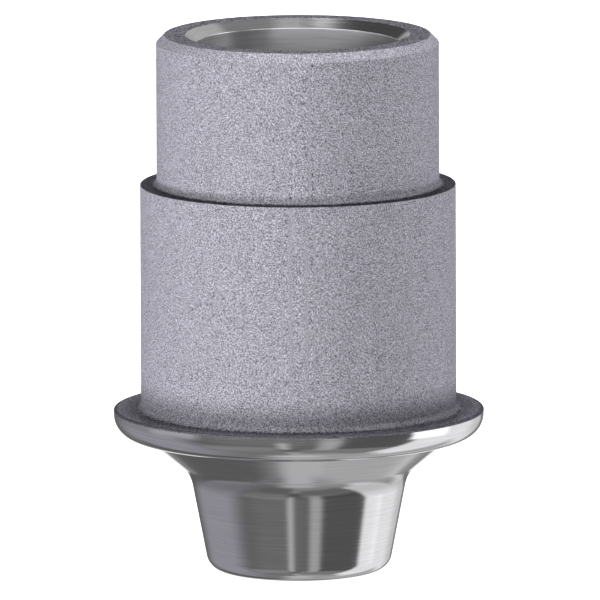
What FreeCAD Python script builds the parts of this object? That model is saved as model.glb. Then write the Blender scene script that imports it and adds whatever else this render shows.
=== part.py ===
import FreeCAD, Part
import math
import os
import Sketcher

# Dental abutment: a bonding base, turned from one titanium bar.
# A crown is cemented over its stepped post, the flange carries the crown's margin, and the
# tapered foot below sits in the implant. A clamping screw drops through the channel in the
# post, seats on a cone inside the flange, and its shank leaves through the hole in the foot.
# The frame: +Z runs up the axis, and the origin is the centre of the foot's resting face.

NODE = "titanium_base"

# The driving dimensions. Lengths are in millimetres and angles in degrees.
SIZES = [
    ("bore_diameter", 2.95, "screw channel through the post"),
    ("post_wall", 0.585, "wall of the upper post round the channel"),
    ("ledge_width", 0.24, "step from the upper to the lower post"),
    ("margin_width", 0.40, "flat top of the flange, from the lower post to the flange's rim"),
    ("upper_post_height", 2.20, "ledge to the post's rim"),
    ("lower_post_height", 3.30, "flange top to ledge"),
    ("flange_thickness", 0.41, "flange underside to flange top"),
    ("underside_width", 0.468, "flat underside, from the flange's rim to the shoulder cone"),
    ("foot_height", 1.97, "resting face to the flange's underside"),
    ("foot_diameter", 2.62, "seating taper carried down to the resting face"),
    ("taper_half_angle", 11.0, "seating taper, from the axis"),
    ("shoulder_half_angle", 50.0, "shoulder cone, from the axis"),
    ("neck_radius", 0.52, "hollow between the taper and the shoulder cone"),
    ("foot_rounding", 0.26, "outer edge of the resting face"),
    ("flange_lower_rounding", 0.33, "polished lower edge of the flange"),
    ("flange_upper_rounding", 0.03, "broken upper edge of the flange"),
    ("base_root_fillet", 0.10, "root of the lower post on the flange"),
    ("ledge_root_fillet", 0.10, "root of the upper post on the ledge"),
    ("rim_chamfer", 0.12, "outer edge of the post's rim"),
    ("mouth_width", 0.16, "lead-in of the channel, across"),
    ("mouth_depth", 0.13, "lead-in of the channel, down"),
    ("screw_hole_diameter", 1.80, "clearance for the clamping screw's shank"),
    ("screw_hole_height", 1.75, "resting face to the lower end of the screw seat"),
    ("seat_half_angle", 45.0, "conical screw seat, from the axis"),
    ("screw_hole_chamfer", 0.05, "edge of the screw hole in the resting face"),
]


def add_sizes(document):
    """The sheet of driving dimensions: name, value and what it measures."""
    sheet = document.addObject("Spreadsheet::Sheet", "sizes")
    for row, (name, value, meaning) in enumerate(SIZES, start=1):
        sheet.set(f"A{row}", name)
        sheet.set(f"B{row}", str(value))
        sheet.set(f"C{row}", meaning)
        sheet.setAlias(f"B{row}", name)
    document.recompute()
    return sheet


def add_outline(body, name, corners):
    """A closed outline on the body's own XZ plane. Line number i starts at corner i."""
    plane = [item for item in body.Origin.OriginFeatures if item.Role == "XZ_Plane"][0]
    sketch = body.newObject("Sketcher::SketchObject", name)
    sketch.AttachmentSupport = (plane, [""])
    sketch.MapMode = "FlatFace"
    points = [FreeCAD.Vector(across, up, 0) for across, up in corners]
    for start, end in zip(points, points[1:] + points[:1]):
        sketch.addGeometry(Part.LineSegment(start, end), False)
    for line in range(len(points)):
        following = (line + 1) % len(points)
        sketch.addConstraint(Sketcher.Constraint("Coincident", line, 2, following, 1))
    return sketch


def hold(sketch, direction, lines):
    """Keep the listed lines Horizontal or Vertical."""
    for line in lines:
        sketch.addConstraint(Sketcher.Constraint(direction, line))


def drive(sketch, kind, edge, name, expression):
    """A named dimension that starts at its drawn value and then follows the sheet."""
    drawn = sketch.Geometry[edge]
    if kind == "start radius":
        constraint = Sketcher.Constraint("DistanceX", -1, 1, edge, 1, drawn.StartPoint.x)
    elif kind == "start height":
        constraint = Sketcher.Constraint("DistanceY", -1, 1, edge, 1, drawn.StartPoint.y)
    elif kind == "slope":
        run = drawn.EndPoint - drawn.StartPoint
        constraint = Sketcher.Constraint("Angle", edge, math.atan2(run.y, run.x))
    else:
        constraint = Sketcher.Constraint("Radius", edge, drawn.Radius)
    index = sketch.addConstraint(constraint)
    sketch.renameConstraint(index, name)
    sketch.setExpression(f"Constraints.{name}", expression)


def turn(body, kind, name, sketch):
    """Turn an outline a full circle about the axis, to add or to remove material."""
    feature = body.newObject(f"PartDesign::{kind}", name)
    feature.Profile = sketch
    feature.ReferenceAxis = (sketch, ["V_Axis"])
    feature.Angle = 360
    body.Document.recompute()


def circle_name(shape, radius, height):
    """The name of the shape's full circle of this radius, at this height above the foot."""
    for number, edge in enumerate(shape.Edges, start=1):
        circle = edge.Curve
        if isinstance(circle, Part.Circle) and abs(circle.Radius - radius) < 1e-4:
            if abs(circle.Center.z - height) < 1e-4:
                return f"Edge{number}"
    raise ValueError(f"no circle of radius {radius} at height {height}")


def dress_edge(body, kind, name, radius, height, expression):
    """A Fillet or Chamfer on one turned edge, sized from the sheet."""
    base = body.Tip
    feature = body.newObject(f"PartDesign::{kind}", name)
    feature.Base = (base, [circle_name(base.Shape, radius, height)])
    feature.setExpression("Radius" if kind == "Fillet" else "Size", expression)
    body.Document.recompute()


document = FreeCAD.newDocument("dental_abutment")
sizes = add_sizes(document)
body = document.addObject("PartDesign::Body", NODE)
body.Label = NODE

# Radii and heights of the turned steps, worked out from the sheet.
bore_radius = sizes.bore_diameter / 2
upper_radius = bore_radius + sizes.post_wall
lower_radius = upper_radius + sizes.ledge_width
flange_radius = lower_radius + sizes.margin_width
cone_end_radius = flange_radius - sizes.underside_width
foot_radius = sizes.foot_diameter / 2
underside = sizes.foot_height
margin = underside + sizes.flange_thickness
ledge = margin + sizes.lower_post_height
rim = ledge + sizes.upper_post_height

# The seating taper and the shoulder cone meet at the neck.
taper_rise = math.tan(math.radians(sizes.taper_half_angle))
cone_rise = math.tan(math.radians(sizes.shoulder_half_angle))
neck = (foot_radius - cone_end_radius + underside * cone_rise) / (cone_rise - taper_rise)

# The turned outline, from the axis at the foot round to the axis at the rim.
outline = add_outline(body, "turned_outline", [
    (0, 0),
    (foot_radius, 0),
    (foot_radius + neck * taper_rise, neck),
    (cone_end_radius, underside),
    (flange_radius, underside),
    (flange_radius, margin),
    (lower_radius, margin),
    (lower_radius, ledge),
    (upper_radius, ledge),
    (upper_radius, rim),
    (0, rim),
])
(FOOT_FACE, TAPER, SHOULDER_CONE, UNDERSIDE, FLANGE_RIM, MARGIN,
 LOWER_POST, LEDGE, UPPER_POST, RIM_FACE, CORE_LINE) = range(11)
outline.fillet(TAPER, 2, sizes.neck_radius)
NECK = outline.GeometryCount - 1

UPPER = "sizes.bore_diameter / 2 + sizes.post_wall"
LOWER = f"{UPPER} + sizes.ledge_width"
FLANGE = f"{LOWER} + sizes.margin_width"
MARGIN_HEIGHT = "sizes.foot_height + sizes.flange_thickness"
LEDGE_HEIGHT = f"{MARGIN_HEIGHT} + sizes.lower_post_height"
RIM_HEIGHT = f"{LEDGE_HEIGHT} + sizes.upper_post_height"
outline.addConstraint(Sketcher.Constraint("Coincident", FOOT_FACE, 1, -1, 1))
outline.addConstraint(Sketcher.Constraint("PointOnObject", CORE_LINE, 1, -2))
hold(outline, "Horizontal", [FOOT_FACE, UNDERSIDE, MARGIN, LEDGE, RIM_FACE])
hold(outline, "Vertical", [FLANGE_RIM, LOWER_POST, UPPER_POST])
drive(outline, "start radius", TAPER, "foot", "sizes.foot_diameter / 2")
drive(outline, "slope", TAPER, "taper", "90 - sizes.taper_half_angle")
drive(outline, "radius", NECK, "neck", "sizes.neck_radius")
drive(outline, "slope", SHOULDER_CONE, "shoulder_cone", "90 - sizes.shoulder_half_angle")
drive(outline, "start radius", UNDERSIDE, "cone_end", f"{FLANGE} - sizes.underside_width")
drive(outline, "start height", UNDERSIDE, "underside", "sizes.foot_height")
drive(outline, "start radius", FLANGE_RIM, "flange", FLANGE)
drive(outline, "start height", MARGIN, "margin", MARGIN_HEIGHT)
drive(outline, "start radius", LOWER_POST, "lower_post", LOWER)
drive(outline, "start height", LEDGE, "ledge", LEDGE_HEIGHT)
drive(outline, "start radius", UPPER_POST, "upper_post", UPPER)
drive(outline, "start height", RIM_FACE, "rim", RIM_HEIGHT)
turn(body, "Revolution", "turned_bar", outline)

# The turned edges. The flange's lower rounding takes no more than its rim leaves it.
dress_edge(body, "Chamfer", "rim_edge", upper_radius, rim, "sizes.rim_chamfer")
dress_edge(body, "Fillet", "ledge_root", upper_radius, ledge, "sizes.ledge_root_fillet")
dress_edge(body, "Fillet", "base_root", lower_radius, margin, "sizes.base_root_fillet")
dress_edge(body, "Fillet", "flange_upper_edge", flange_radius, margin,
           "sizes.flange_upper_rounding")
dress_edge(body, "Fillet", "flange_lower_edge", flange_radius, underside,
           "min(sizes.flange_lower_rounding; sizes.flange_thickness - 2 * sizes.flange_upper_rounding)")
dress_edge(body, "Fillet", "foot_edge", foot_radius, 0, "sizes.foot_rounding")

# The screw channel, from the rim down to the foot: lead-in, bore, conical seat, shank hole.
hole_radius = sizes.screw_hole_diameter / 2
seat_drop = (bore_radius - hole_radius) / math.tan(math.radians(sizes.seat_half_angle))
channel = add_outline(body, "channel_outline", [
    (0, rim),
    (bore_radius + sizes.mouth_width, rim),
    (bore_radius, rim - sizes.mouth_depth),
    (bore_radius, sizes.screw_hole_height + seat_drop),
    (hole_radius, sizes.screw_hole_height),
    (hole_radius, sizes.screw_hole_chamfer),
    (hole_radius + sizes.screw_hole_chamfer, 0),
    (0, 0),
])
MOUTH, LEAD_IN, BORE, SEAT, SHANK_HOLE, HOLE_CHAMFER, HOLE_MOUTH, CENTRE_LINE = range(8)
channel.addConstraint(Sketcher.Constraint("PointOnObject", MOUTH, 1, -2))
channel.addConstraint(Sketcher.Constraint("Coincident", CENTRE_LINE, 1, -1, 1))
hold(channel, "Horizontal", [MOUTH, HOLE_MOUTH])
hold(channel, "Vertical", [BORE, SHANK_HOLE])
drive(channel, "start radius", LEAD_IN, "mouth", "sizes.bore_diameter / 2 + sizes.mouth_width")
drive(channel, "start height", LEAD_IN, "rim", RIM_HEIGHT)
drive(channel, "start radius", BORE, "bore", "sizes.bore_diameter / 2")
drive(channel, "start height", BORE, "lead_in_end", f"{RIM_HEIGHT} - sizes.mouth_depth")
drive(channel, "slope", SEAT, "seat", "-90 - sizes.seat_half_angle")
drive(channel, "start radius", SHANK_HOLE, "hole", "sizes.screw_hole_diameter / 2")
drive(channel, "start height", SHANK_HOLE, "seat_end", "sizes.screw_hole_height")
drive(channel, "start height", HOLE_CHAMFER, "chamfer_top", "sizes.screw_hole_chamfer")
drive(channel, "start radius", HOLE_MOUTH, "hole_mouth",
      "sizes.screw_hole_diameter / 2 + sizes.screw_hole_chamfer")
undrilled_volume = body.Shape.Volume
turn(body, "Groove", "screw_channel", channel)

for item in document.Objects:
    if "Invalid" in item.State or "Error" in item.State:
        raise RuntimeError(f"{item.Label} did not recompute: {item.State}")
if body.Shape.isNull() or not body.Shape.isValid() or len(body.Shape.Solids) != 1:
    raise RuntimeError(f"{NODE} is not one valid solid")
if body.Shape.Volume >= undrilled_volume:
    raise RuntimeError("the screw channel removed nothing")
box = body.Shape.optimalBoundingBox()
print(f"{NODE}: {box.XLength:.3f} mm across, {box.ZLength:.3f} mm high, "
      f"{body.Shape.Volume:.3f} mm3, neck {neck:.3f} mm above the foot")

os.makedirs("parts", exist_ok=True)
body.Shape.exportStep(f"parts/{NODE}.step")
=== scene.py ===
# %% [markdown]
# A titanium bonding base, the kind of dental abutment that a crown is glued onto.
# It is one small turned part, under 8 mm high: a tapered foot that sits in the implant, a round
# flange, and a stepped post that is grit-blasted so that cement holds on it.
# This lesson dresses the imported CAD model. It keeps every size and gives the metal its finishes.

import math

import bpy
from mathutils import Matrix, Vector


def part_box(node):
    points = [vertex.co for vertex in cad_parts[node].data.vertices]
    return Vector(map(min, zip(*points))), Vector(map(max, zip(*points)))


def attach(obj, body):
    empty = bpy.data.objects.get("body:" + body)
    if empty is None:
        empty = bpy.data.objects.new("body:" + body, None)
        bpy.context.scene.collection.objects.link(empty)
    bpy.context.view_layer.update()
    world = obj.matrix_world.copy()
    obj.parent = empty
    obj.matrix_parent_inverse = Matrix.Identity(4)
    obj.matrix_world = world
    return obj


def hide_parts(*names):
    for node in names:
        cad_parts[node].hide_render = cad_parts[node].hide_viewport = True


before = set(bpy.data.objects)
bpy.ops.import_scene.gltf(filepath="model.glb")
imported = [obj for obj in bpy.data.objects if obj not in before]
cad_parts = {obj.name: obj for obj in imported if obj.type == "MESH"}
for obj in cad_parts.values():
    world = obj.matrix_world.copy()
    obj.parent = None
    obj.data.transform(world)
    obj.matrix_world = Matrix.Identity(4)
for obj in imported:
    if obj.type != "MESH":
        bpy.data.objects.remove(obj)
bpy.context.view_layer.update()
base_low, base_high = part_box("titanium_base")

# %% [markdown]
# Blender works in metres and this part is measured in hundredths of a millimetre.
# So all sizes are written in millimetres, as a turner reads them from a drawing, and one constant
# brings them to metres. The height and the flange are measured from the CAD box, so that the
# dressed part can't drift away from the solid.

# %% Sizes of the outside, in millimetres and degrees
MM = 0.001

total_height = (base_high.z - base_low.z) / MM
flange_radius = (base_high.x - base_low.x) / MM / 2
foot_radius = 1.31
taper_angle = 11.0
shoulder_angle = 50.0
foot_height = 1.97
underside_width = 0.468
flange_thickness = 0.41
margin_width = 0.40
lower_post_height = 3.30
ledge_width = 0.24
rim_chamfer = 0.12
print(f"total height {total_height:.3f} mm, flange {2 * flange_radius:.3f} mm across")

# %% [markdown]
# A clamping screw drops through the part from above. It meets a short lead-in, then the bore that
# passes its head, a cone of 45 degrees that the head presses on, and a narrow hole for its shank.
# Only the lead-in and the top of the bore show in the photograph. The rest is as usual on such
# parts.

# %% Sizes of the screw channel, in millimetres
bore_radius = 1.475
mouth_width = 0.16
mouth_depth = 0.13
screw_hole_radius = 0.90
seat_height = 1.75
hole_chamfer = 0.05
print(f"bore {2 * bore_radius:.2f} mm across, screw hole {2 * screw_hole_radius:.2f} mm across")

# %% [markdown]
# The camera comes next, because everything after it is judged through it.
# The photograph was taken from nine degrees above the part with almost no perspective, so a very
# long lens stands far away. The part leans a fifth of a degree to the left in the picture, which
# is a camera that was not quite level, so the camera is rolled by that much.

# %% Camera with a long lens, nine degrees above the part
CAMERA_ELEVATION = 9.0
CAMERA_ROLL = 0.203
FRAME_WIDTH = 8.74
AIM_HEIGHT = 3.965
AIM_TO_THE_RIGHT = 0.024
LENS = 1500.0
SENSOR = 36.0
NEAREST_SEEN = 0.01
FARTHEST_SEEN = 2.0

distance = FRAME_WIDTH * MM * LENS / SENSOR
elevation = math.radians(CAMERA_ELEVATION)
backwards = Vector((0.0, -math.cos(elevation), math.sin(elevation)))
level = (-backwards).to_track_quat("-Z", "Y").to_matrix()
rolled = level @ Matrix.Rotation(math.radians(-CAMERA_ROLL), 3, "Z")
aim = Vector((0.0, 0.0, AIM_HEIGHT * MM)) + rolled @ Vector((AIM_TO_THE_RIGHT * MM, 0.0, 0.0))

camera_data = bpy.data.cameras.new("long_lens")
camera_data.lens = LENS
camera_data.sensor_width = SENSOR
camera_data.clip_start = NEAREST_SEEN
camera_data.clip_end = FARTHEST_SEEN
camera = bpy.data.objects.new("long_lens", camera_data)
camera.matrix_world = Matrix.Translation(aim + backwards * distance) @ rolled.to_4x4()
bpy.context.scene.collection.objects.link(camera)
bpy.context.scene.camera = camera
print(f"camera {distance * 1000:.0f} mm away, {CAMERA_ELEVATION} degrees up")

# %% [markdown]
# A lathe makes every surface of this part, so Blender makes it the same way: half a cross-section
# is drawn as a loop of corners and then turned round the axis. The seating taper of the foot and
# the shoulder cone meet in a hollow. Where they meet is worked out first, from their two slopes.

# %% Heights and radii of the turned steps, in millimetres
foot_slope = math.tan(math.radians(taper_angle))
shoulder_slope = math.tan(math.radians(shoulder_angle))
underside_inner = flange_radius - underside_width
neck_height = underside_inner - foot_height * shoulder_slope - foot_radius
neck_height = neck_height / (foot_slope - shoulder_slope)
neck_meeting = foot_radius + neck_height * foot_slope

margin_height = foot_height + flange_thickness
ledge_height = margin_height + lower_post_height
lower_post = flange_radius - margin_width
upper_post = lower_post - ledge_width
seat_top = seat_height + (bore_radius - screw_hole_radius)
bore_top = total_height - mouth_depth
mouth_radius = bore_radius + mouth_width
print("taper and shoulder meet", round(neck_height, 3), "mm above the foot")

# %% [markdown]
# A real edge is never perfectly sharp, so each corner of the loop has its own rounding. The large
# ones are the neck, the foot and the lower side of the flange. The small ones are the broken edges
# that catch a thin line of light. Each corner also names the finish of the stretch after it:
# the post and the flange's upper side are blasted, the lead-in and everything below the flange's
# rim are polished, and the channel is bored.

# %% Corners of the half section, from the foot round the outside and back down the bore
neck_rounding = 0.52
foot_rounding = 0.26
flange_lower_rounding = 0.33
flange_upper_rounding = 0.03
post_root_rounding = 0.10
shoulder_end_rounding = 0.02
seat_rounding = 0.03
broken_edge = 0.01
crisp_edge = 0.008

# radius, height, rounding, finish of the stretch that follows
corners = [
    (screw_hole_radius + hole_chamfer, 0.0, broken_edge, "polished"),
    (foot_radius, 0.0, foot_rounding, "polished"),
    (neck_meeting, neck_height, neck_rounding, "polished"),
    (underside_inner, foot_height, shoulder_end_rounding, "polished"),
    (flange_radius, foot_height, flange_lower_rounding, "polished"),
    (flange_radius, margin_height, flange_upper_rounding, "blasted"),
    (lower_post, margin_height, post_root_rounding, "blasted"),
    (lower_post, ledge_height, crisp_edge, "blasted"),
    (upper_post, ledge_height, post_root_rounding, "blasted"),
    (upper_post, total_height - rim_chamfer, broken_edge, "blasted"),
    (upper_post - rim_chamfer, total_height, crisp_edge, "blasted"),
    (mouth_radius, total_height, crisp_edge, "polished"),
    (bore_radius, bore_top, broken_edge, "bored"),
    (bore_radius, seat_top, seat_rounding, "bored"),
    (screw_hole_radius, seat_height, seat_rounding, "bored"),
    (screw_hole_radius, hole_chamfer, broken_edge, "bored"),
]
print(len(corners), "corners round the half section")

# %% [markdown]
# Rounding a corner means replacing it by an arc that touches both of its sides.
# The normal of the surface is known exactly on such a loop: it stands square to a straight stretch
# and points away from the centre of an arc. Handing Blender these exact normals gives clean
# reflections in the polished flange, with no faceting and no shading that bleeds past an edge.

# %% Round the corners, and keep the exact normal of every point
ARC_STEP = 5.0
FEWEST_STEPS = 3


def soften(loop):
    """Points (radius, height), normals and finishes of the loop with all its corners rounded."""
    points, normals, finishes = [], [], []
    for i, (r, z, rounding, finish) in enumerate(loop):
        before = Vector(loop[i - 1][:2])
        here = Vector((r, z))
        after = Vector(loop[(i + 1) % len(loop)][:2])
        arriving = (here - before).normalized()
        leaving = (after - here).normalized()
        turn = arriving.angle_signed(leaving)
        start = here - arriving * rounding * math.tan(abs(turn) / 2)
        outward = Vector((arriving.y, -arriving.x))
        bulge = rounding if turn < 0 else -rounding
        centre = start - outward * bulge
        steps = max(FEWEST_STEPS, math.ceil(math.degrees(abs(turn)) / ARC_STEP))
        for k in range(steps + 1):
            normal = Matrix.Rotation(-turn * k / steps, 2) @ outward
            points.append(centre + normal * bulge)
            normals.append(normal)
            finishes.append(finish if k == steps or finish == "blasted" else loop[i - 1][3])
    return points, normals, finishes


points, normals, finishes = soften(corners)
print(len(points), "points round the half section")

# %% [markdown]
# Now the loop is turned. Every point becomes a ring of vertices, and every two neighbouring rings
# are joined by a band of quads that takes the finish of its stretch. The loop is closed, so the
# result is one watertight skin like the solid that it stands for.

# %% Turn the half section into one closed mesh
AROUND = 360
FINISHES = ["blasted", "polished", "bored"]


def turn_on_lathe(name, points, normals, finishes):
    """A mesh object made by turning the loop round the z axis."""
    vertices, vertex_normals, faces, slots = [], [], [], []
    for (r, z), (out, up) in zip(points, normals):
        for k in range(AROUND):
            a = 2 * math.pi * k / AROUND
            vertices.append((r * MM * math.cos(a), r * MM * math.sin(a), z * MM))
            vertex_normals.append((out * math.cos(a), out * math.sin(a), up))
    for i in range(len(points)):
        j = (i + 1) % len(points)
        for k in range(AROUND):
            m = (k + 1) % AROUND
            faces.append((i * AROUND + k, i * AROUND + m, j * AROUND + m, j * AROUND + k))
            slots.append(FINISHES.index(finishes[i]))
    mesh = bpy.data.meshes.new(name)
    mesh.from_pydata(vertices, [], faces)
    mesh.polygons.foreach_set("material_index", slots)
    mesh.polygons.foreach_set("use_smooth", [True] * len(faces))
    mesh.normals_split_custom_set_from_vertices(vertex_normals)
    piece = bpy.data.objects.new(name, mesh)
    bpy.context.scene.collection.objects.link(piece)
    return piece


bonding_base = turn_on_lathe("bonding_base", points, normals, finishes)
quads = len(bonding_base.data.polygons)
print(len(bonding_base.data.vertices), "vertices,", 2 * quads, "triangles")

# %% [markdown]
# The CAD model is one rigid solid, so the turned piece rides on its only body and takes the
# solid's place in the picture. The solid itself stays in the simulation, for collisions.

# %% The turned piece stands for the CAD solid
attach(bonding_base, "root")
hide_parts("titanium_base")
print("bonding_base rides on root and replaces titanium_base")

# %% [markdown]
# Materials are node trees. Small helpers keep them readable: one turns the sRGB hex code that a
# painter picks into the linear numbers that Blender counts with, one adds a node with its settings
# and links, one starts a material, and one gives a colour ramp its tones.

# %% Helpers for colours, nodes and materials


def linear(hex_code):
    """Linear RGBA from an sRGB hex code."""
    out = []
    for i in (1, 3, 5):
        c = int(hex_code[i : i + 2], 16) / 255
        out.append(c / 12.92 if c <= 0.04045 else ((c + 0.055) / 1.055) ** 2.4)
    return (*out, 1.0)


def add(tree, kind, inputs=None, **settings):
    """Add a node. An input is a plain value, a socket, or a node that gives its first output."""
    node = tree.nodes.new(kind)
    for key, value in settings.items():
        setattr(node, key, value)
    for key, value in (inputs or {}).items():
        if isinstance(value, bpy.types.Node):
            value = value.outputs[0]
        if isinstance(value, bpy.types.NodeSocket):
            tree.links.new(value, node.inputs[key])
        else:
            node.inputs[key].default_value = value
    return node


def new_material(name):
    """An empty node material and its tree."""
    material = bpy.data.materials.new(name)
    material.use_nodes = True
    material.node_tree.nodes.clear()
    return material, material.node_tree


def set_tones(ramp, tones):
    """Give a colour ramp its two tones, each with its place on the ramp and its hex code."""
    for stop, (at, hex_code) in zip(ramp.color_ramp.elements, tones):
        stop.position = at
        stop.color = linear(hex_code)


print("mid grey #808080 is", round(linear("#808080")[0], 3), "in linear light")

# %% [markdown]
# On a turned part, the turning rings and the painted shade depend on two things: how far a spot is
# from the axis and how high it is. So the next helpers measure both inside the node tree. With
# them a corner of the half section can be found again on the surface, and shade can be painted
# into the skin towards it.

# %% Helpers that find a spot on the turned part


def find_place(tree):
    """A spot's place, its offset from the axis, its radius and its height, in metres."""
    place = add(tree, "ShaderNodeTexCoord").outputs["Object"]
    split = add(tree, "ShaderNodeSeparateXYZ", {"Vector": place})
    offset = add(tree, "ShaderNodeCombineXYZ", {"X": split.outputs["X"], "Y": split.outputs["Y"]})
    radius = add(tree, "ShaderNodeVectorMath", {0: offset}, operation="LENGTH")
    return place, offset, radius.outputs["Value"], split.outputs["Z"]


def painted_corner_shade(tree, radius, height, corner, near, far, share):
    """Painted shade near a corner: the share of light is `share` within near of it, and all of it
    beyond far.
    """
    section = add(tree, "ShaderNodeCombineXYZ", {"X": radius, "Y": height})
    root = (corner[0] * MM, corner[1] * MM, 0.0)
    away = add(tree, "ShaderNodeVectorMath", {0: section, 1: root}, operation="DISTANCE")
    values = {"Value": away.outputs["Value"], "To Min": share}
    values |= {"From Min": near * MM, "From Max": far * MM}
    return add(tree, "ShaderNodeMapRange", values, interpolation_type="SMOOTHSTEP")


def product(tree, shares):
    """All the shares multiplied together."""
    total = shares[0]
    for share in shares[1:]:
        total = add(tree, "ShaderNodeMath", {0: total, 1: share}, operation="MULTIPLY")
    return total


print("the corner of the ledge is at radius", round(upper_post, 3), "and height", ledge_height)

# %% [markdown]
# The post and the flange's upper side are grit-blasted titanium. The grit leaves overlapping dents
# some 0.03 mm wide. Each has a lit side, a shaded side and a bright edge, so the light changes
# about three times across it, and the grains that the eye sees are a third of a dent wide.
# A face that lies flat is seen at such a low angle that grains this fine would blur away. So there
# they are drawn about two and a half times as wide, and stronger, to show in the picture.

# %% Grit-blasted titanium: how flat a spot lies
STEEPEST_LYING = 0.8

blasted, tree = new_material("titanium_grit_blasted")
place, offset, radius, height = find_place(tree)
facing = add(tree, "ShaderNodeNewGeometry").outputs["Normal"]
upward = add(tree, "ShaderNodeSeparateXYZ", {"Vector": facing}).outputs["Z"]
values = {"Value": upward, "From Min": STEEPEST_LYING, "From Max": 1.0}
lying = add(tree, "ShaderNodeMapRange", values)
print("a face lies flat when its normal rises", STEEPEST_LYING, "or more")

# %% [markdown]
# The grains are noise, which works twice: here as lighter and darker metal with a violet cast,
# and later as a bump. The two tones are close together on the ramp, so that the grains look crisp.

# %% Grit-blasted titanium: the grains
DENT = 0.030
GRAIN = DENT / 3.2
LYING_GRAIN = DENT / 1.25

values = {"Vector": place, "Scale": 1 / (GRAIN * MM), "Detail": 0.0}
fine = add(tree, "ShaderNodeTexNoise", values)
values = {"Vector": place, "Scale": 1 / (LYING_GRAIN * MM), "Detail": 0.0}
wide = add(tree, "ShaderNodeTexNoise", values)
strong = add(tree, "ShaderNodeMapRange", {"Value": wide, "From Min": 0.36, "From Max": 0.64})
dents = add(tree, "ShaderNodeMix", {"Factor": lying, "A": fine, "B": strong})
grains = add(tree, "ShaderNodeValToRGB", {"Fac": dents})
set_tones(grains, ((0.44, "#5D5B65"), (0.57, "#F4F2FD")))
print(f"grains {GRAIN:.4f} mm wide on the walls, {LYING_GRAIN:.4f} mm on lying faces")

# %% [markdown]
# Shade is painted into the skin: it is darker on the margin, on the ledge and on the top, where
# the lying faces take less light, and it darkens towards the inner corners and the flange's upper
# edge, where shade falls. A lying face is told from the others by its height.

# %% Grit-blasted titanium: painted shade on lying faces, in inner corners and at the flange's edge
SAME_HEIGHT = 0.15

# Painted shade: the lying faces, the inner corners and the flange's edge are darkened in the
# colour.
shares = []
for level, share in ((margin_height, 0.95), (ledge_height, 0.24), (total_height, 0.76)):
    values = {0: height, 1: level * MM, 2: SAME_HEIGHT * MM}
    here = add(tree, "ShaderNodeMath", values, operation="COMPARE")
    loss = add(tree, "ShaderNodeMath", {0: here, 1: share - 1}, operation="MULTIPLY")
    values = {0: loss, 1: lying, 2: 1.0}
    shares.append(add(tree, "ShaderNodeMath", values, operation="MULTIPLY_ADD"))

for corner, near, far, share in (
    ((lower_post, margin_height), 0.06, 0.52, 0.46),
    ((upper_post, ledge_height), 0.05, 0.14, 0.55),
    ((flange_radius, margin_height), 0.02, 0.08, 0.36),
):
    shares.append(painted_corner_shade(tree, radius, height, corner, near, far, share))
painted_skin_shade = product(tree, shares)
print("the skin darkens in", len(shares), "places")

# %% [markdown]
# Blasted titanium is bare metal that scatters what it mirrors, so it is fully metallic and rough.
# The faces that the grit only grazed are a little smoother. The dents are hundredths of a
# millimetre deep, and towards a grazing view the metal turns grey rather than white, because
# each dent hides part of the next.

# %% Grit-blasted titanium: the surface
DENT_DEPTH = 0.006

# The grains are multiplied by the painted shade.
skin = add(
    tree,
    "ShaderNodeMix",
    {"Factor": 1.0, "A": grains.outputs["Color"], "B": painted_skin_shade.outputs[0]},
    data_type="RGBA",
    blend_type="MULTIPLY",
)
values = {"Height": dents, "Strength": 1.0, "Distance": DENT_DEPTH * MM}
dented = add(tree, "ShaderNodeBump", values)
matt = add(tree, "ShaderNodeMapRange", {"Value": lying, "To Min": 0.62, "To Max": 0.42})
surface = add(
    tree,
    "ShaderNodeBsdfPrincipled",
    {
        "Base Color": skin.outputs["Result"],
        "Metallic": 1.0,
        "Roughness": matt,
        "Specular Tint": linear("#9A99A1"),
        "Normal": dented,
    },
)
add(tree, "ShaderNodeOutputMaterial", {"Surface": surface})
print("titanium_grit_blasted is ready")

# %% [markdown]
# The flange's rim and the foot are fine-turned and then polished, because gum and implant touch
# them. They mirror the room, but the tool's feed leaves faint rings round the axis. The rings are
# noise that is long round the part and very short across it: only the direction round the axis is
# kept of the place, and the way up and outwards is counted in feeds. The real feed marks are
# about 0.01 mm apart. Drawn twice as wide, they show in the picture.

# %% Noise that runs round the part
FEED = 0.022
PATCHES_ROUND = 2.0


def turning_rings(tree, feed):
    """Noise in rings round the z axis, one ring per feed, in a few patches round the part."""
    _, offset, radius, height = find_place(tree)
    compass = add(tree, "ShaderNodeVectorMath", {0: offset}, operation="NORMALIZE")
    values = {0: compass, "Scale": PATCHES_ROUND}
    round_it = add(tree, "ShaderNodeVectorMath", values, operation="SCALE")
    along = add(tree, "ShaderNodeMath", {0: height, 1: radius})
    feeds = add(tree, "ShaderNodeMath", {0: along, 1: 1 / (feed * MM)}, operation="MULTIPLY")
    upward = add(tree, "ShaderNodeCombineXYZ", {"Z": feeds})
    spot = add(tree, "ShaderNodeVectorMath", {0: round_it, 1: upward})
    return add(tree, "ShaderNodeTexNoise", {"Vector": spot, "Scale": 1.0, "Detail": 2.0})


print("turning rings every", FEED, "mm")

# %% [markdown]
# Polished titanium is a nearly neutral grey mirror. Its roughness is low, and the rings make it
# vary a little, which stretches each highlight. The noise hardly leaves the range from 0.3 to 0.7,
# so that range is spread over the two tones and over the two values of roughness.

# %% Turned and polished titanium: the rings
RING_LOW = 0.3
RING_HIGH = 0.7
RING_DEPTH = 0.002

polished, tree = new_material("titanium_turned_polished")
rings = turning_rings(tree, FEED)
mirror = add(tree, "ShaderNodeValToRGB", {"Fac": rings})
set_tones(mirror, ((RING_LOW, "#DDDCDE"), (RING_HIGH, "#E9E8EA")))
values = {"Value": rings, "From Min": RING_LOW, "From Max": RING_HIGH}
values |= {"To Min": 0.08, "To Max": 0.13}
gloss = add(tree, "ShaderNodeMapRange", values)
values = {"Height": rings, "Strength": 0.05, "Distance": RING_DEPTH * MM}
ridged = add(tree, "ShaderNodeBump", values)
print("roughness of the polished rings goes from 0.08 to 0.13")
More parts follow.
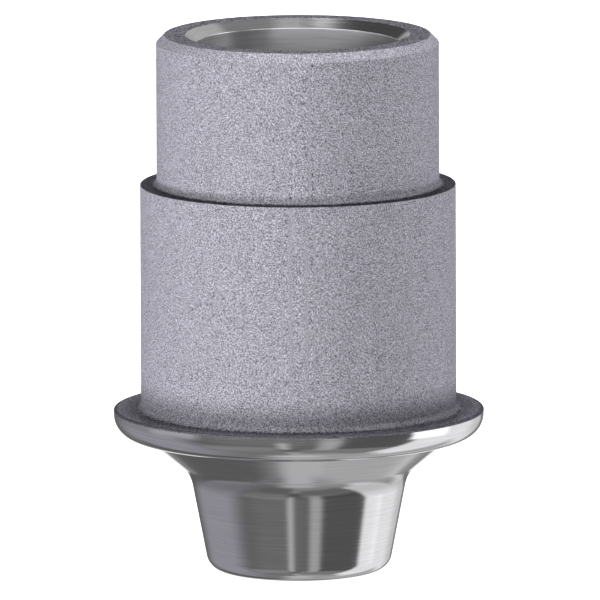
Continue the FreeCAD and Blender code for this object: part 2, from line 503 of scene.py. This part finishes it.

# %% [markdown]
# Shade is painted into the hollow under the shoulder cone: the metal is made a little darker
# there.
# The hollow is where the two slopes meet, which was worked out above.

# %% Turned and polished titanium: painted shade in the hollow, and the surface
_, _, radius, height = find_place(tree)
# Painted shade: the hollow under the shoulder cone is darkened in the colour.
painted_hollow_shade = painted_corner_shade(tree, radius, height, (neck_meeting, neck_height), 0.03, 0.20, 0.66)
tone = add(
    tree,
    "ShaderNodeMix",
    {"Factor": 1.0, "A": mirror.outputs["Color"], "B": painted_hollow_shade.outputs[0]},
    data_type="RGBA",
    blend_type="MULTIPLY",
)
surface = add(
    tree,
    "ShaderNodeBsdfPrincipled",
    {
        "Base Color": tone.outputs["Result"],
        "Metallic": 1.0,
        "Roughness": gloss,
        "Normal": ridged,
    },
)
add(tree, "ShaderNodeOutputMaterial", {"Surface": surface})
print("titanium_turned_polished is ready")

# %% [markdown]
# The screw channel is bored: smoother than the blasted post, but not polished, because only the
# screw sees it. The rings of the boring tool spread each reflection up and down, so it shows soft
# stripes of light down its length. That spread is what the anisotropic setting gives, turned a
# quarter so that it runs across the rings.

# %% Bored titanium
BORE_FEED = 0.05
BORE_RING_DEPTH = 0.004

bored, tree = new_material("titanium_bored")
rings = turning_rings(tree, BORE_FEED)
tone = add(tree, "ShaderNodeValToRGB", {"Fac": rings})
set_tones(tone, ((RING_LOW, "#B2B1B4"), (RING_HIGH, "#C2C1C4")))
values = {"Height": rings, "Strength": 0.15, "Distance": BORE_RING_DEPTH * MM}
ridged = add(tree, "ShaderNodeBump", values)
surface = add(
    tree,
    "ShaderNodeBsdfPrincipled",
    {
        "Base Color": tone,
        "Metallic": 1.0,
        "Roughness": 0.40,
        "Anisotropic": 0.90,
        "Anisotropic Rotation": 0.25,
        "Normal": ridged,
        "Tangent": add(tree, "ShaderNodeTangent", direction_type="RADIAL", axis="Z"),
    },
)
add(tree, "ShaderNodeOutputMaterial", {"Surface": surface})
print("bore rings every", BORE_FEED, "mm")

# %% [markdown]
# The three finishes are on one piece of metal, so they are three materials of one mesh. Each band
# of quads already holds the number of its finish, in this order.

# %% Give each stretch of the turned piece its finish
for material in (blasted, polished, bored):
    bonding_base.data.materials.append(material)
print([m.name for m in bonding_base.data.materials])

# %% [markdown]
# The floor is a plain pale sheet under the foot. Its own light, which only the camera sees, brings
# it to white as a light table does, while its pale paint still takes the part's soft shadow.
# The polished foot looks straight down, and next to a bare floor it would mirror nothing else. In
# the photograph it mirrors lamps and dark cards that stand lower than the part. So the floor is
# kept out of mirror reflections, and it casts no shadow, so that the low lamps reach the metal.

# %% Pale floor
FLOOR_REACH = 0.5

floor_mesh = bpy.data.meshes.new("floor")
floor_corners = [(-FLOOR_REACH, -FLOOR_REACH, 0.0), (FLOOR_REACH, -FLOOR_REACH, 0.0)]
floor_corners += [(FLOOR_REACH, FLOOR_REACH, 0.0), (-FLOOR_REACH, FLOOR_REACH, 0.0)]
floor_mesh.from_pydata(floor_corners, [], [(0, 1, 2, 3)])
floor = bpy.data.objects.new("floor", floor_mesh)
bpy.context.scene.collection.objects.link(floor)
floor.visible_glossy = False
floor.visible_shadow = False

floor_paint, tree = new_material("floor_pale_matt")
matt = add(tree, "ShaderNodeBsdfDiffuse", {"Color": linear("#F2F2F3")})
seen = add(tree, "ShaderNodeLightPath").outputs["Is Camera Ray"]
glow = add(tree, "ShaderNodeEmission", {"Color": linear("#FFFFFF"), "Strength": seen})
both = add(tree, "ShaderNodeAddShader", {0: matt, 1: glow})
add(tree, "ShaderNodeOutputMaterial", {"Surface": both})
floor_mesh.materials.append(floor_paint)
print("floor", 2 * FLOOR_REACH, "m wide")

# %% [markdown]
# Polished metal looks like what it mirrors, so the studio is built from the part's point of view.
# The room is dim, a little lighter above and below, and lamps and cards stand round the part.
# Each one is a window of compass direction and height, with soft edges, painted into the world.
# The compass is nought towards the camera and grows to the right, and the heights below nought
# look down. A card further down the lists stands in front of those before it. The first list is
# the room, with what stands behind the part and under it. The foot and the cone mirror these.

# %% The room, and what stands behind the part and under it, in degrees
# name, from, to, lowest, highest, edge, strength
cards = [
    ("dark_room", -200, 200, -100, 8, 8, 0.13),
    ("room_above", -200, 200, 4, 100, 12, 0.42),
    ("room_below", -200, 200, -100, -60, 12, 0.40),
    ("lamp_low_behind", 160, 200, -76, -62, 8, 0.52),
    ("lamp_low_behind_left", -200, -164, -76, -62, 8, 0.52),
    ("room_below_left", -146, -14, -80, -54, 14, 0.20),
    ("low_right_card", 2, 84, -70, -44, 10, 0.23),
    ("lamp_under", -200, 200, -100, -82, 8, 0.60),
    ("card_behind_right", 160, 200, -60, -24, 6, 0.27),
    ("card_behind_left", -200, -166, -60, -24, 6, 0.34),
    ("open_back_left", -200, -171, -34, -3, 4, 0.90),
    ("open_back_right", 171, 200, -34, -3, 4, 0.90),
    ("back_glow_left", -200, -172, 0, 14, 6, 1.20),
    ("back_glow_right", 172, 200, 0, 14, 6, 1.20),
]
print(len(cards), "lamps and cards for the room, the back and the underside")

# %% [markdown]
# The blasted walls take their light from lamps that stand level with the part or above it. The
# lamps on the horizon are thin and strong: they light the matt walls squarely, and the polished
# faces hardly mirror them. The lamps above light the chamfer and the lying faces, and the lead-in
# mirrors them. A dark card behind on the left keeps the lead-in's right half dark.

# %% Lamps and cards level with the part and above it, in degrees
cards += [
    ("horizon_lamp_left", -158, -96, -2, 7, 5, 4.80),
    ("horizon_lamp", -98, 64, -2, 7, 5, 6.20),
    ("top_right_card", 95, 168, 44, 78, 10, 0.24),
    ("back_right_card", 128, 168, 12, 44, 10, 0.48),
    ("back_right_lamp", 90, 126, 18, 46, 8, 2.60),
    ("key_soft_lamp", -84, 62, 10, 42, 16, 1.25),
    ("top_soft_lamp", -112, 84, 52, 86, 12, 2.10),
    ("back_left_card", -168, -117, 12, 84, 10, 0.07),
    ("right_dark_strip", 66, 130, -4, 12, 6, 0.05),
    ("horizon_lamp_right", 138, 157, -2, 7, 5, 5.0),
]
print(len(cards), "with those level with the part and above it")

# %% [markdown]
# What stands lower than the part is what the flange's rim, the cone and the taper mirror: a large
# soft lamp on the right, a weaker one with a violet cast on the left, two narrow strips in front,
# and a dark card between the strips and the large lamp. They give the foot its upright stripes.

# %% Lamps and cards lower than the part, in degrees
cards += [
    ("left_soft_lamp", -150, -78, -62, -5, 34, 0.38),
    ("left_low_card", -168, -144, -69, -32, 14, 0.12),
    ("front_left_fill", -60, 8, -36, -3, 40, 0.19),
    ("left_rim_glow", -106, -68, -17, -3, 12, 0.45),
    ("front_left_low_fill", -74, -16, -57, -36, 10, 0.26),
    ("front_strip_left", -14, -7, -46, -12, 8, 0.50),
    ("front_strip_right", 13, 27, -49, -7, 9, 0.42),
    ("dark_card", 31, 77, -46, 26, 8, 0.10),
    ("right_soft_lamp", 82, 161, -64, -4, 8, 0.93),
    ("right_lamp_end", 138, 166, -22, -4, 22, 0.60),
    ("right_dark_end", 158, 170, -24, -4, 8, 0.20),
    ("right_lamp_foot", 132, 160, -70, -34, 10, 0.46),
    ("right_hot_lamp", 76, 108, -22, -4, 6, 1.40),
]
tints = {"left_soft_lamp": "#EFEDF8", "left_rim_glow": "#F3F1FA"}
print(len(cards), "lamps and cards in all")

# %% [markdown]
# A world has no walls, only directions. So the direction of each reflection is turned into a
# compass angle and a height, and a window is the place where both are within their limits.

# %% Compass and height of a direction, and a window in them
world = bpy.data.worlds.new("studio")
world.use_nodes = True
bpy.context.scene.world = world
tree = world.node_tree
tree.nodes.clear()
gaze = add(tree, "ShaderNodeTexCoord").outputs["Generated"]
split = add(tree, "ShaderNodeSeparateXYZ", {"Vector": gaze})
forward = add(tree, "ShaderNodeMath", {0: split.outputs["Y"], 1: -1.0}, operation="MULTIPLY")
compass = add(tree, "ShaderNodeMath", {0: split.outputs["X"], 1: forward}, operation="ARCTAN2")
compass = add(tree, "ShaderNodeMath", {0: compass}, operation="DEGREES")
height = add(tree, "ShaderNodeMath", {0: split.outputs["Z"]}, operation="ARCSINE")
height = add(tree, "ShaderNodeMath", {0: height}, operation="DEGREES")


def window(tree, compass, height, first, last, lowest, highest, edge):
    """One inside the window of directions and nought outside it, with soft edges."""
    sides = []
    for value, at, ends in (
        (compass, first, (0.0, 1.0)),
        (compass, last, (1.0, 0.0)),
        (height, lowest, (0.0, 1.0)),
        (height, highest, (1.0, 0.0)),
    ):
        values = {"Value": value, "From Min": at - edge / 2, "From Max": at + edge / 2}
        values |= {"To Min": ends[0], "To Max": ends[1]}
        sides.append(add(tree, "ShaderNodeMapRange", values, interpolation_type="SMOOTHSTEP"))
    return product(tree, sides)


print("world", world.name, "measures directions in degrees")

# %% [markdown]
# The lamps and cards are painted one over the other, in the order of the lists.
# The camera itself doesn't see them, only white: the photograph's room is white, and its metal
# still mirrors dark cards. Everything else that meets the world sees the studio.

# %% Paint the lamps and cards, and a white room for the camera
light = linear("#FFFFFF")
for name, first, last, lowest, highest, edge, strength in cards:
    share = window(tree, compass, height, first, last, lowest, highest, edge)
    glow = [c * strength for c in linear(tints.get(name, "#FFFFFF"))[:3]] + [1.0]
    mixed = add(tree, "ShaderNodeMix", {"Factor": share, "A": light, "B": glow}, data_type="RGBA")
    mixed.label = name
    light = mixed.outputs["Result"]

studio = add(tree, "ShaderNodeBackground", {"Color": light, "Strength": 1.0})
white = add(tree, "ShaderNodeBackground", {"Color": linear("#FFFFFF"), "Strength": 1.0})
seen = add(tree, "ShaderNodeLightPath").outputs["Is Camera Ray"]
both = add(tree, "ShaderNodeMixShader", {0: seen, 1: studio, 2: white})
add(tree, "ShaderNodeOutputWorld", {"Surface": both})
print("studio world is ready with", len(cards), "lamps and cards")

# %% [markdown]
# Standard shows the colours as they are written.

bpy.context.scene.view_settings.view_transform = "Standard"
